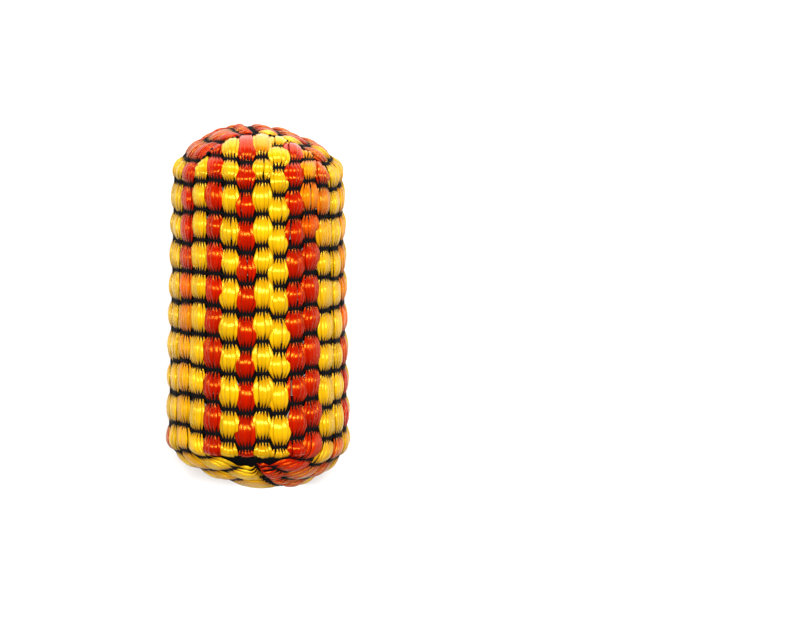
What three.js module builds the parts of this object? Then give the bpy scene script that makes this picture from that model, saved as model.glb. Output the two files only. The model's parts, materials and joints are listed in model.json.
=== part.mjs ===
// A hand-held herbal compress: a soft, stubby bolster that lies on its side.
// A muslin bag of packed dried herbs fills a woven cover. The cover's thick floss runs lengthwise in
// columns, and black cord binds the columns into rows of plump floats. At each end the front and back
// columns tuck under two flaps, left and right, which meet at a stitched seam.
//
// Frame: millimetres, +Z up, the long axis along Y, the resting face on z = 0 below the middle.
// The end at +Y is called "top" and the end at -Y "bottom", as when the compress is held upright.
// The cover's shape is worked out about its axis, then tapered, raised and pressed flat underneath.
// Distances "along" a column are measured on the cover's outer surface from the middle of its length.
import * as THREE from "three";

// Body
const bodyRadius = 27;
const straightHalf = 39.5; // half of the length between the two domes
const domeHeight = 15;
const domePower = { across: 1.55, upAndDown: 3 }; // 2 would be half an ellipse; more is boxier
const taper = 0.0008; // how much slimmer the body gets for each millimetre towards the top
const axisHeight = 25.5; // less than the radius, because the cover's weight flattens its resting side

// Woven cover
const columnCount = 28;
const firstColumnAngle = 3.6; // degrees from straight up, towards +X
const columnCrowding = 4.1; // degrees by which columns crowd together on the upper and lower faces
const columnGap = 0.5;
const coverThickness = 2.9;
const neckDepth = 2.3; // how far the binding cord draws the floss in
const rowPitch = 9.38;
const ringRows = 10;
const ringsShift = 5.4; // how far the middle of the rings is towards the top
const flapRows = 3;
const fewestCrossed = 3; // a flap row that would cross fewer columns is left out
const restingShare = 0.93; // a column rests on the table where it faces down by more than this
const restingFlat = 2.3; // half-length of the flat on each float that rests
const lastFloat = 0.8; // the shortest end of a float

// Binding cord and closing stitch
const cordRadius = 0.4;
const cordDepth = 0.7; // its centre, below the cover's outer surface
const stitchDepth = 1.5; // the stitching lies in the seam, deeper than the rows
const stitchMargin = { upper: 1, lower: 4 };

// The two ends. flapEdge is how far above and below the axis the flaps may reach, and tuckGap is the gap
// that the front and back columns leave beside them. The seam is at seamX + seamSlope z + seamBend z^2.
// leftDrop and rightDrop are how far each flap's upper edge sags at the seam. bow lifts it in between.
const ends = {
  top: {
    side: 1, apexX: -3.6, flapEdge: 17.4, tuckGap: 0.5, leftDrop: 6, rightDrop: 5, bow: 0,
    seamX: -2, seamSlope: 0.15, seamBend: 0,
  },
  bottom: {
    side: -1, apexX: 5, flapEdge: 23.4, tuckGap: 0.8, leftDrop: -4, rightDrop: -3, bow: 0.8,
    seamX: 10.3, seamSlope: -0.158, seamBend: -0.011,
  },
};

// Muslin bag, its filling and its tie
const bagGap = 0.4;
const bagRadius = bodyRadius - coverThickness - bagGap;
const bagWall = 0.6;
const bagStraightHalf = 36.5;
const bagDome = { top: 9, bottom: 12 };
const mouthRadius = 3;
const mouthBore = 1.6;
const mouthTop = 50;
const tieRadius = 0.7;
const clearance = 0.3;

const flossYellow = new THREE.MeshStandardMaterial({ color: 0xf2b90f, roughness: 0.4, metalness: 0 });
const flossRed = new THREE.MeshStandardMaterial({ color: 0xd62a0a, roughness: 0.4, metalness: 0 });
const bindingBlack = new THREE.MeshStandardMaterial({ color: 0x0c0b0d, roughness: 0.7, metalness: 0 });
const muslinWhite = new THREE.MeshStandardMaterial({ color: 0xe9e4d6, roughness: 0.9, metalness: 0 });
const cottonString = new THREE.MeshStandardMaterial({ color: 0xd8cfb8, roughness: 0.9, metalness: 0 });
const driedHerbs = new THREE.MeshStandardMaterial({ color: 0x8a7a3a, roughness: 1, metalness: 0 });

// One letter for each column, from straight up towards +X and all the way round
const columnColours = "YYRRYYRYYRYYRYRRYYRYRYYRYRYR";

// ---- Columns ----

const degrees = Math.PI / 180;

function columnEdgeAngle(index) {
  const even = firstColumnAngle + (index * 360) / columnCount;
  return (even - columnCrowding * Math.sin(2 * even * degrees)) * degrees;
}

const columns = [...columnColours].map((letter, index) => {
  const low = columnEdgeAngle(index - 0.5);
  const high = columnEdgeAngle(index + 0.5);
  const middle = (low + high) / 2;
  const material = letter === "R" ? flossRed : flossYellow;
  return { number: index + 1, low, high, middle, material, rests: -Math.cos(middle) > restingShare };
});

// A column is part of a flap where the whole of it leaves the rim between the flap's edges.
function inFlap(end, column) {
  const reach = bodyRadius * Math.max(Math.abs(Math.cos(column.low)), Math.abs(Math.cos(column.high)));
  return reach <= end.flapEdge;
}

// ---- The cover's outer surface, about its axis ----

function rimPoint(angle) {
  return [bodyRadius * Math.sin(angle), bodyRadius * Math.cos(angle)];
}

// How far the dome has fallen, from 0 at the apex to 1 at the rim. Its level circles slide towards the
// apex as they shrink, and it falls off later up and down than it does across.
function domeFall(end, x, z) {
  const shift = end.apexX;
  const room = bodyRadius ** 2 - shift ** 2;
  const dx = x - shift;
  const spread = dx ** 2 + z ** 2;
  const level = (shift * dx + Math.sqrt((shift * dx) ** 2 + room * spread)) / room;
  const upright = spread > 0 ? z ** 2 / spread : 0;
  return level ** (domePower.across + (domePower.upAndDown - domePower.across) * upright);
}

function domePoint(end, x, z) {
  const rise = domeHeight * Math.sqrt(Math.max(0, 1 - domeFall(end, x, z)));
  return new THREE.Vector3(x, end.side * (straightHalf + rise), z);
}

// Outward normal at a point on the surface, from the slope of the dome's fall there
function outward(end, point) {
  const rise = end.side * point.y - straightHalf;
  if (rise <= 0) return new THREE.Vector3(point.x, 0, point.z).normalize();
  const step = 1e-3;
  const fall = (dx, dz) => domeFall(end, point.x + dx, point.z + dz);
  return new THREE.Vector3(
    (fall(step, 0) - fall(-step, 0)) / (2 * step),
    (end.side * 2 * rise) / domeHeight ** 2,
    (fall(0, step) - fall(0, -step)) / (2 * step),
  ).normalize();
}

function seamAcross(end, z) {
  return end.seamX + end.seamSlope * z + end.seamBend * z ** 2;
}

// Where a flap's column that leaves the rim at this angle lies, as [x, z], at a share of its way across
// the end: 0 at the rim, 1 beside the seam
function flapPlace(end, angle, share) {
  const [rimX, rimZ] = rimPoint(angle);
  const drop = rimX < 0 ? end.leftDrop : end.rightDrop;
  const endZ = rimZ - (drop * (rimZ + end.flapEdge)) / (2 * end.flapEdge);
  const endX = seamAcross(end, endZ) + Math.sign(rimX) * columnGap;
  const lift = end.bow * Math.max(0, rimZ / end.flapEdge) * Math.sin(Math.PI * share);
  return [rimX + (endX - rimX) * share, rimZ + (endZ - rimZ) * share + lift];
}

// The rim angle at which a flap's upper or lower edge starts
function flapLimit(end, isLeft, isUpper) {
  return columns
    .filter((column) => inFlap(end, column))
    .flatMap(({ low, high }) => [low, high])
    .filter((angle) => Math.sin(angle) < 0 === isLeft && Math.cos(angle) > 0 === isUpper)
    .reduce((best, angle) => (Math.abs(Math.cos(angle)) > Math.abs(Math.cos(best)) ? angle : best));
}

// Where a tucked column at this x goes under the flaps: just outside the nearer flap's edge
function tuckHeight(end, x, isUpper) {
  const facing = isUpper ? 1 : -1;
  const isLeft = x < seamAcross(end, facing * end.flapEdge);
  const limit = flapLimit(end, isLeft, isUpper);
  const rimX = flapPlace(end, limit, 0)[0];
  const endX = flapPlace(end, limit, 1)[0];
  const share = Math.min(1, Math.max(0, (x - rimX) / (endX - rimX)));
  return flapPlace(end, limit, share)[1] + facing * end.tuckGap;
}

// The line that a column's edge or middle follows, from mid-length to one end.
// A flap's column runs on over the dome to the seam; any other tucks under the flaps.
function coverLine(end, angle, isFlap) {
  const [rimX, rimZ] = rimPoint(angle);
  const sideSteps = 6;
  const points = [];
  for (let i = 0; i <= sideSteps; i++) {
    points.push(new THREE.Vector3(rimX, (end.side * straightHalf * i) / sideSteps, rimZ));
  }
  const tuckZ = tuckHeight(end, rimX, rimZ > 0);
  const endsAtRim = !isFlap && Math.abs(rimZ) < Math.abs(tuckZ) + 0.1;
  const domeSteps = 16;
  for (let i = 1; i <= domeSteps && !endsAtRim; i++) {
    const share = (i / domeSteps) ** 2;
    const [x, z] = isFlap ? flapPlace(end, angle, share) : [rimX, rimZ + (tuckZ - rimZ) * share];
    points.push(domePoint(end, x, z));
  }
  return new THREE.CatmullRomCurve3(points);
}

// ---- From the axis to the finished place ----

// A point at a depth below the surface, tapered with the body and pressed up off the table
function placed(surface, normal, depth) {
  const girth = 1 - taper * surface.y;
  const height = Math.max(0, axisHeight + surface.z * girth);
  return new THREE.Vector3(surface.x * girth, surface.y, height).addScaledVector(normal, -depth);
}

function coverPoint(end, line, along, depth) {
  const surface = line.getPointAt(Math.min(1, along / line.getLength()));
  return placed(surface, outward(end, surface), depth);
}

// ---- Solids ----

// A closed solid through rings of points, each ring listed the same way round
function loftedSolid(rings, closed) {
  const sides = rings[0].length;
  const spans = closed ? rings.length : rings.length - 1;
  const indices = [];
  for (let r = 0; r < spans; r++) {
    const here = r * sides;
    const next = ((r + 1) % rings.length) * sides;
    for (let k = 0; k < sides; k++) {
      const k2 = (k + 1) % sides;
      indices.push(here + k, here + k2, next + k2, here + k, next + k2, next + k);
    }
  }
  if (!closed) {
    const last = (rings.length - 1) * sides;
    for (let k = 1; k < sides - 1; k++) {
      indices.push(0, k + 1, k, last, last + k, last + k + 1);
    }
  }
  const geometry = new THREE.BufferGeometry().setFromPoints(rings.flat());
  geometry.setIndex(indices);
  return geometry;
}

function named(name, geometry, material) {
  const mesh = new THREE.Mesh(geometry, material);
  mesh.name = name;
  return mesh;
}

const twoDigits = (number) => String(number).padStart(2, "0");

// Distances along a column, from mid-length towards one end, of its necks at the binding rows and its
// bellies between them, each with its depth
function stationsOf(column, end, length) {
  const flat = column.rests ? restingFlat : 0;
  const rows = Array.from({ length: ringRows + 2 * (flapRows + 1) }, (_, i) => rowAlong(i - flapRows));
  const stations = [];
  for (const row of rows) {
    const belly = end.side * (row + rowPitch / 2);
    stations.push([end.side * row, neckDepth], [belly - flat, 0]);
    if (flat > 0) stations.push([belly + flat, 0]);
  }
  return stations
    .filter(([along]) => along > 0 && along < length - lastFloat)
    .sort(([before], [after]) => before - after);
}

// Half of a column, from mid-length to one end, as rings of its four corners
function halfColumn(column, end) {
  const inset = columnGap / 2 / bodyRadius;
  const isFlap = inFlap(end, column);
  const edges = [column.low + inset, column.high - inset].map((angle) => coverLine(end, angle, isFlap));
  const lengths = edges.map((edge) => edge.getLength());
  const ring = (alongs, depth) => [
    coverPoint(end, edges[0], alongs[0], depth),
    coverPoint(end, edges[1], alongs[1], depth),
    coverPoint(end, edges[1], alongs[1], coverThickness),
    coverPoint(end, edges[0], alongs[0], coverThickness),
  ];
  const stations = stationsOf(column, end, Math.min(...lengths));
  const rings = stations.map(([along, depth]) => ring([along, along], depth));
  return [...rings, ring(lengths, neckDepth)];
}

// One column of floss: a row of floats, from one end's tuck or seam to the other's
function flossColumn(column) {
  const rings = [...halfColumn(column, ends.bottom).reverse(), ...halfColumn(column, ends.top)];
  return named(`floss_column_${twoDigits(column.number)}`, loftedSolid(rings, false), column.material);
}

// A square-section cord through points, each with the surface's outward normal
function cordThrough(name, points, normals, closed) {
  const corners = [[-1, -1], [1, -1], [1, 1], [-1, 1]];
  const count = points.length;
  const rings = points.map((point, i) => {
    const before = closed ? points.at(i - 1) : points[Math.max(0, i - 1)];
    const after = closed ? points[(i + 1) % count] : points[Math.min(count - 1, i + 1)];
    const sideways = after.clone().sub(before).cross(normals[i]).normalize();
    return corners.map(([out, side]) => {
      const corner = point.clone().addScaledVector(normals[i], out * cordRadius);
      return corner.addScaledVector(sideways, side * cordRadius);
    });
  });
  return named(name, loftedSolid(rings, closed), bindingBlack);
}

// A binding cord laid across columns at one distance along them
function bindingRow(name, end, crossed, along, closed) {
  const lines = crossed.map((column) => coverLine(end, column.middle, inFlap(end, column)));
  const points = lines.map((line) => coverPoint(end, line, along, cordDepth));
  const normals = lines.map((line, i) => coverPoint(end, line, along, cordDepth - 1).sub(points[i]));
  return cordThrough(name, points, normals, closed);
}

// Distance of a row along the columns from mid-length, towards the top; rows 1 to ringRows are the rings
function rowAlong(row) {
  return ringsShift + (row - (ringRows + 1) / 2) * rowPitch;
}

function bodyBindingRow(row) {
  const y = rowAlong(row);
  const end = y > 0 ? ends.top : ends.bottom;
  return bindingRow(`body_binding_row_${twoDigits(row)}`, end, columns, Math.abs(y), true);
}

// Beyond the rings the rows go on across each flap, over the columns that are long enough.
function flapBindingRow(endName, flapName, sign, row) {
  const end = ends[endName];
  const along = Math.abs(rowAlong(end.side > 0 ? ringRows + row : 1 - row));
  const crossed = columns.filter((column) =>
    inFlap(end, column)
    && Math.sin(column.middle) * sign > 0
    && coverLine(end, column.middle, true).getLength() > along + lastFloat);
  if (crossed.length < fewestCrossed) return [];
  return [bindingRow(`${endName}_${flapName}_flap_binding_row_${row}`, end, crossed, along, false)];
}

// The stitching that draws an end's two flaps together
function closingStitch(endName) {
  const end = ends[endName];
  const upperEnd = end.flapEdge - Math.max(0, end.leftDrop, end.rightDrop) - stitchMargin.upper;
  const lowerEnd = stitchMargin.lower - end.flapEdge;
  const steps = 12;
  const points = [];
  const normals = [];
  for (let i = 0; i <= steps; i++) {
    const z = upperEnd + ((lowerEnd - upperEnd) * i) / steps;
    const surface = domePoint(end, seamAcross(end, z), z);
    const normal = outward(end, surface);
    points.push(placed(surface, normal, stitchDepth));
    normals.push(normal);
  }
  return cordThrough(`${endName}_closing_stitch`, points, normals, false);
}

// ---- Inside the cover ----

// Profile of a bolster with a dome at each end, from the bottom's pole to the top's, as [radius, y]
function bolsterProfile(radius, bottomDome, topDome, topRadius) {
  const steps = 6;
  const profile = [];
  for (let i = 0; i <= steps; i++) {
    const angle = ((i / steps) * Math.PI) / 2;
    const y = -bagStraightHalf - bottomDome * Math.cos(angle);
    profile.push(new THREE.Vector2(radius * Math.sin(angle), y));
  }
  const lastAngle = Math.asin(topRadius / radius);
  for (let i = steps; i >= 0; i--) {
    const angle = lastAngle + (i / steps) * (Math.PI / 2 - lastAngle);
    const y = bagStraightHalf + topDome * Math.cos(angle);
    profile.push(new THREE.Vector2(radius * Math.sin(angle), y));
  }
  return profile;
}

// A turned solid about the long axis, tapered with the body, its lower half pressed level
function turned(name, profile, material) {
  const aroundSteps = 32;
  const pressedShare = (axisHeight - coverThickness - bagGap) / bagRadius;
  const geometry = new THREE.LatheGeometry(profile, aroundSteps);
  const places = geometry.getAttribute("position");
  for (let i = 0; i < places.count; i++) {
    const girth = 1 - taper * places.getY(i);
    const z = places.getZ(i);
    places.setX(i, places.getX(i) * girth);
    places.setZ(i, z * (z < 0 ? pressedShare : girth));
  }
  const mesh = named(name, geometry, material);
  mesh.position.z = axisHeight;
  return mesh;
}

function muslinBag() {
  const outside = bolsterProfile(bagRadius, bagDome.bottom, bagDome.top, mouthRadius);
  const inner = bagRadius - bagWall;
  const inside = bolsterProfile(inner, bagDome.bottom - bagWall, bagDome.top - bagWall, mouthBore);
  const mouth = [new THREE.Vector2(mouthRadius, mouthTop), new THREE.Vector2(mouthBore, mouthTop)];
  return turned("muslin_bag", [...outside, ...mouth, ...inside.reverse()], muslinWhite);
}

function herbFilling() {
  const inset = bagWall + clearance;
  const profile = bolsterProfile(bagRadius - inset, bagDome.bottom - inset, bagDome.top - inset, 0);
  return turned("herb_filling", profile, driedHerbs);
}

// The string that ties the bag's mouth shut, inside the cover's top end
function bagTie() {
  const ringRadius = mouthRadius + tieRadius + clearance;
  const tie = named("bag_tie_string", new THREE.TorusGeometry(ringRadius, tieRadius, 8, 20), cottonString);
  tie.rotation.x = Math.PI / 2;
  tie.position.set(0, (bagStraightHalf + bagDome.top + mouthTop) / 2, axisHeight);
  return tie;
}

// ---- The whole compress ----

const compress = new THREE.Group();
compress.add(herbFilling(), muslinBag(), bagTie());
for (const column of columns) compress.add(flossColumn(column));
for (let row = 1; row <= ringRows; row++) compress.add(bodyBindingRow(row));
for (const endName of Object.keys(ends)) {
  for (const [flapName, sign] of [["left", -1], ["right", 1]]) {
    for (let row = 1; row <= flapRows; row++) {
      flapBindingRow(endName, flapName, sign, row).forEach((piece) => compress.add(piece));
    }
  }
  compress.add(closingStitch(endName));
}

export default compress;
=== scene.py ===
"""The looks of a hand-held herbal compress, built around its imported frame.

The woven cover is made of its real strands: each column is a bundle of satin floss, drawn in by three black
picks at every row. Lengths in the cover's formulas are millimetres, as in the part's design, about the
compress's own axis; MM turns them into metres. The camera, the floor and the lights are in metres. "top" is
the end at +Y and "bottom" the end at -Y.
"""

import json
import math
import random
from functools import lru_cache
from types import SimpleNamespace

import bpy
import numpy as np
from mathutils import Matrix, Vector


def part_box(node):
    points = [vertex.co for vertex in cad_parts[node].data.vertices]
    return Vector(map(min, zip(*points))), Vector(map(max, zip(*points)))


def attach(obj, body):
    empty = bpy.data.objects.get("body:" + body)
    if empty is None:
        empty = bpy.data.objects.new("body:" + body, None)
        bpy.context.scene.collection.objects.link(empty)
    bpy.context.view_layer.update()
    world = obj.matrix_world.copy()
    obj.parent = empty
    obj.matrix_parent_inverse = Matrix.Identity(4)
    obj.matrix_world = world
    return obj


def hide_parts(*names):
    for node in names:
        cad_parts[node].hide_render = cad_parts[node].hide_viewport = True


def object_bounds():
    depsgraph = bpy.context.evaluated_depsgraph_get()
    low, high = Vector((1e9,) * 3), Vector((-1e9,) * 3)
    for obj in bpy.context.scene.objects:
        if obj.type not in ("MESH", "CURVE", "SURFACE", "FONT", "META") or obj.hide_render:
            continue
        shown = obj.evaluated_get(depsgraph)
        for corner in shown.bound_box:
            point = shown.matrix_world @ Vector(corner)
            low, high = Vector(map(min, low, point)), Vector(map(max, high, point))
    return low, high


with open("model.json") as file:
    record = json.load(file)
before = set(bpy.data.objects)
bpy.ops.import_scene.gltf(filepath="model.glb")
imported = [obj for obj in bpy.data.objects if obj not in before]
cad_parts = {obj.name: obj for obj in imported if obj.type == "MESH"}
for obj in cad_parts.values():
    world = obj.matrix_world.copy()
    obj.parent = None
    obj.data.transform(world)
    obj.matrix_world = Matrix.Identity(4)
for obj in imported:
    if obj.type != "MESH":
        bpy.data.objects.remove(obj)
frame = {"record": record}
cad_low, cad_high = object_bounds()
SLOTS = {part["node"]: part["material_slot"] for part in frame["record"]["subparts"]}

MM = 0.001
chance = random.Random(7)

# Body, from the frame's box: an even surface round the long axis, with a dome at each end
HALF_WIDTH = (cad_high.x - cad_low.x) / 2 / MM
HALF_LENGTH = (cad_high.y - cad_low.y) / 2 / MM
FLOATS_STAND_OUT = 0.66  # how far the widest floats stand out of the even surface
ENDS_DIP = 0.35  # how far the seams dip into the domes
DOME_HEIGHT = 15.0
BODY_RADIUS = HALF_WIDTH - FLOATS_STAND_OUT
STRAIGHT_HALF = HALF_LENGTH + ENDS_DIP - DOME_HEIGHT
AXIS_HEIGHT = cad_high.z / MM - HALF_WIDTH
POWER_ACROSS = 1.55  # how round the domes are across the width and through the height: higher is fuller
POWER_UP_AND_DOWN = 3.0
RIM_SOFTENING = 0.6  # the stretch of a dome's rise over which its slope takes over from the side's
TAPER = 0.0008  # the share of its girth that the body loses with each millimetre towards the top
COLUMN_COUNT = 28
FIRST_COLUMN_ANGLE = 3.6  # degrees from straight up, towards +X
COLUMN_CROWDING = 4.1  # the most degrees a column's edge shifts to crowd them on top and underneath
COLUMN_GAP = 0.5  # between the end of a flap's column and the seam
RING_ROWS = 10
FLAP_ROWS = 3  # the most rows that a flap has
SIDE_STATIONS = 12  # points on a line from mid-length to a rim, and on from there over a dome
DOME_STATIONS = 60

# The two folded ends. flap_edge is how far above and below the axis the flaps' edges leave the rim. At the
# seam the upper edge is lower by left_drop or right_drop, and between it bows up. The other columns tuck
# under at tuck_gap from the edge, the upper ones at most longest_tuck past the rim.
ENDS = {
    "top": SimpleNamespace(
        side=1, apex_x=-3.6, flap_edge=17.4, tuck_gap=0.5, left_drop=6.0, right_drop=5.0, bow=0.0,
        seam_x=-2.0, seam_slope=0.15, seam_bend=0.0, longest_tuck=30.0, stitch_depth=0.9),
    "bottom": SimpleNamespace(
        side=-1, apex_x=5.0, flap_edge=23.4, tuck_gap=0.8, left_drop=-4.0, right_drop=-3.0, bow=0.8,
        seam_x=10.3, seam_slope=-0.158, seam_bend=-0.011, longest_tuck=3.2, stitch_depth=1.8),
}

# Floss strands
STRAND_PITCH = 1.08  # how many strands a column has follows from this
BELLY_SPREAD = 1.07  # width of a float's belly and tie, as a share of its column
TIE_SPREAD = 0.74
TIE_SPREAD_VARIES = 0.09
SPREAD_CURVE = 0.8  # a float widens from its tie more slowly where this is higher
STRAND_OVERLAP = 0.85  # half-width of a strand at the belly, as a share of the strands' pitch
TIE_HALF_WIDTH = 0.16
STRAND_HALF_DEPTH = 0.4
TIE_HALF_DEPTH = 0.24
TIE_DEPTH = 1.95
SWELLING = 0.55  # a float rises from its tie faster where this is lower
POINT_START = 0.1  # how far from the tie a strand starts to widen
POINT_LENGTH = 4.0  # how far a strand runs out of its tie before it meets its neighbours
CROWN_DROP = 1.2  # how much lower a float's outermost strands lie
CROWN_POWER = 2.2
SPLIT_WIDTH = 0.3  # how far the strands on each side of a split move apart
STRAND_SIDES = 10
FLOAT_STATIONS = (0.0, 0.03, 0.07, 0.12, 0.18, 0.25, 0.34, 0.45, 0.55, 0.66, 0.75, 0.82, 0.88, 0.93, 0.97)

# Tucked ends
SHORTEST_TUCK = 3.2  # how far past the rim a tucked strand shows at least
LAST_FLOAT = 0.8  # a tie is left out where less than this would show beyond it
UNDER = 3.0  # how far a tucked strand goes on out of sight
DIVE_DEPTH = 3.6
DIVE_LEAD = 1.4  # how far before it goes out of sight a strand starts to dive
DIVE_LENGTH = 3.4

# Binding cord
PICK_RADIUS = 0.29
LINK_RADIUS = 0.18
PICK_SPACING = 0.48
PICK_DEPTH = 1.4
PICK_WAVE = 0.3  # how deep a pick goes between the strands
PICK_OVER, PICK_UNDER = 1.1, 0.8  # a pick's thickness over and between the strands, as a share of its own
PICKS_GATHERED = 0.1  # the picks' spacing where they aren't tied, as a share of PICK_SPACING
LINK_DEPTH = 0.2  # how much deeper the cord lies from column to column
# Stations from a tie to its column's edge: the share of that way, and how fully the cord is tied there
LINK_STEPS = ((0.35, 0.5), (0.75, 0.2))
CORD_SIDES = 6
TICK_LENGTH = 2.4  # stitches across each tie, between the strands' points
TICK_RADIUS = 0.38
TICK_REACH = (-1, -0.6, -0.3, -0.12, 0.12, 0.3, 0.6, 1)  # stations along a stitch, and its taper at each
TICK_TAPER = (0.12, 0.65, 1, 1, 1, 1, 0.65, 0.12)
TICK_BELOW_STRAND = 0.08
TICK_ABOVE_PICK = 0.05
SEAM_STEP = 0.3
SEAM_SWING = 0.75  # how far the seam's zigzag goes to each side
SEAM_STITCH_DEPTH = 1.3
STITCH_LENGTHS = (1.3, 1.5)
STITCH_RADIUS = 0.26
STITCH_WAVE = 0.25  # how far a stitch rises and sinks
SEAM_LOWER_MARGIN = 4  # how far from the flaps' edges the seam's stitches stop
SEAM_UPPER_MARGIN = 1
SEAM_GROUND = 0.5  # half-width of the black under the seam's stitches
SEAM_CLEARANCE = 1.2  # a flap's row leaves out a column whose tie would be nearer the seam than this
STITCH_GROUND_DEPTH = 2.4
GROUND_UNDER_FLAP = 4.0  # how far the black in a cleft goes on below the flaps: black thread, and painted shade that darkens the opening
CLEFT_STITCHES = 0.4  # how far from the flaps the stitches in a cleft lie
CLEFT_SWING = 0.14
CLEFT_HALF_LENGTH = 18
GROUND_DEPTH = 2.45
GROUND_HALF_WIDTH = 2.1
GROUND_THICKNESS = 0.3
STITCH_GROUND_THICKNESS = 0.4

# Heights of each column's ties at the top ring and the bottom ring, from the column straight up towards +X
# and round. The rings in between lie a little higher than evenly.
TIE_HEIGHTS = [
    (49.3, -37.5), (45.2, -39.0), (47.1, -36.5), (48.6, -35.0), (46.8, -38.0), (45.5, -37.2), (46.0, -36.4),
    (47.2, -36.0), (48.3, -37.6), (46.4, -36.8), (47.9, -38.2), (49.0, -36.2), (46.1, -37.9), (48.2, -35.9),
    (47.3, -37.1), (45.8, -38.4), (48.8, -36.6), (46.6, -35.8), (47.7, -37.7), (48.9, -36.9), (46.3, -36.1),
    (47.0, -35.2), (46.6, -34.4), (46.7, -33.8), (49.0, -35.0), (49.2, -35.8), (48.5, -37.6), (46.9, -39.1),
]
EXTRA_TIE_COLUMN = 1  # the second column is tied once more before it tucks under the top flaps
RINGS_BOW = 1.1
TIES_WANDER = 0.45
USUAL_PITCH = 9.4  # from tie to tie


# ---- Camera ----

CAMERA_DISTANCE = 3.0  # far enough for the picture to be nearly without perspective
CAMERA_LEAN = math.radians(7)
CAMERA_LENS = 450.0
AIM_RIGHT = 0.0426  # the compress lies left of the picture's middle and a little above it
AIM_DOWN = 0.0038


def make_camera():
    middle = (Vector(cad_low) + Vector(cad_high)) / 2
    away = Vector((0, math.sin(CAMERA_LEAN), math.cos(CAMERA_LEAN)))
    up = Vector((0, math.cos(CAMERA_LEAN), -math.sin(CAMERA_LEAN)))
    place = middle + away * CAMERA_DISTANCE
    aim = middle + Vector((AIM_RIGHT, 0, 0)) - up * AIM_DOWN
    back = (place - aim).normalized()
    right = up.cross(back).normalized()
    data = bpy.data.cameras.new("camera")
    data.lens = CAMERA_LENS
    camera = bpy.data.objects.new("camera", data)
    bpy.context.scene.collection.objects.link(camera)
    camera.matrix_world = Matrix((right, back.cross(right), back)).transposed().to_4x4()
    camera.location = place
    bpy.context.scene.camera = camera


make_camera()


# ---- The cover's surface ----

def edge_angle(index):
    even = FIRST_COLUMN_ANGLE + index * 360 / COLUMN_COUNT
    return math.radians(even - COLUMN_CROWDING * math.sin(math.radians(2 * even)))


def make_column(index):
    low, high = edge_angle(index - 0.5), edge_angle(index + 0.5)
    column = SimpleNamespace(index=index, low=low, high=high, middle=(low + high) / 2)
    column.half_width = BODY_RADIUS * (high - low) / 2
    column.strands = round(2 * column.half_width / STRAND_PITCH)
    column.name = f"floss_column_{index + 1:02d}"
    return column


COLUMNS = [make_column(i) for i in range(COLUMN_COUNT)]


def in_flap(end, column):
    reach = BODY_RADIUS * max(abs(math.cos(column.low)), abs(math.cos(column.high)))
    return reach <= end.flap_edge


def dome_fall(end, x, z):
    """How far the dome has fallen: 0 at the apex, 1 at the rim."""
    dx = x - end.apex_x
    room = BODY_RADIUS ** 2 - end.apex_x ** 2
    spread = dx ** 2 + z ** 2
    level = (end.apex_x * dx + np.sqrt((end.apex_x * dx) ** 2 + room * spread)) / room
    upright = z ** 2 / np.maximum(spread, 1e-9)
    return np.maximum(level, 0) ** (POWER_ACROSS + (POWER_UP_AND_DOWN - POWER_ACROSS) * upright)


def dome_points(end, x, z):
    rise = DOME_HEIGHT * np.sqrt(np.maximum(0, 1 - dome_fall(end, x, z)))
    return np.stack([x, end.side * (STRAIGHT_HALF + rise), z], axis=-1)


def normalised(vectors):
    return vectors / np.maximum(np.linalg.norm(vectors, axis=-1, keepdims=True), 1e-12)


def outward(end, points):
    """Outward normals at points on the surface."""
    x, z = points[:, 0], points[:, 2]
    rise = np.maximum(0, end.side * points[:, 1] - STRAIGHT_HALF)
    step = 1e-3
    slope_x = (dome_fall(end, x + step, z) - dome_fall(end, x - step, z)) / (2 * step)
    slope_z = (dome_fall(end, x, z + step) - dome_fall(end, x, z - step)) / (2 * step)
    dome = normalised(np.stack([slope_x, end.side * 2 * rise / DOME_HEIGHT ** 2, slope_z], axis=-1))
    side = normalised(np.stack([x, np.zeros_like(x), z], axis=-1))
    blend = np.clip(rise / RIM_SOFTENING, 0, 1)[:, None]
    return normalised(side * (1 - blend) + dome * blend)


def seam_across(end, z):
    return end.seam_x + end.seam_slope * z + end.seam_bend * z ** 2


def flap_place(end, angle, share):
    """Where a flap's column that leaves the rim at this angle lies, as x and z."""
    rim_x, rim_z = BODY_RADIUS * math.sin(angle), BODY_RADIUS * math.cos(angle)
    drop = end.left_drop if rim_x < 0 else end.right_drop
    end_z = rim_z - drop * (rim_z + end.flap_edge) / (2 * end.flap_edge)
    end_x = seam_across(end, end_z) + math.copysign(COLUMN_GAP, rim_x)
    lift = end.bow * max(0, rim_z / end.flap_edge) * np.sin(math.pi * share)
    return rim_x + (end_x - rim_x) * share, rim_z + (end_z - rim_z) * share + lift


@lru_cache(maxsize=None)
def flap_limit(end_name, is_left, is_upper):
    end = ENDS[end_name]
    edges = [a for c in COLUMNS if in_flap(end, c) for a in (c.low, c.high)]
    near = [a for a in edges if (math.sin(a) < 0) == is_left and (math.cos(a) > 0) == is_upper]
    return max(near, key=lambda a: abs(math.cos(a)))


def tuck_height(end_name, x, is_upper):
    """Where a tucked column at this x goes under the flaps."""
    end = ENDS[end_name]
    facing = 1 if is_upper else -1
    limit = flap_limit(end_name, bool(x < seam_across(end, facing * end.flap_edge)), is_upper)
    rim_x, end_x = flap_place(end, limit, 0)[0], flap_place(end, limit, 1)[0]
    share = min(1, max(0, (x - rim_x) / (end_x - rim_x)))
    return flap_place(end, limit, share)[1] + facing * end.tuck_gap


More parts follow.
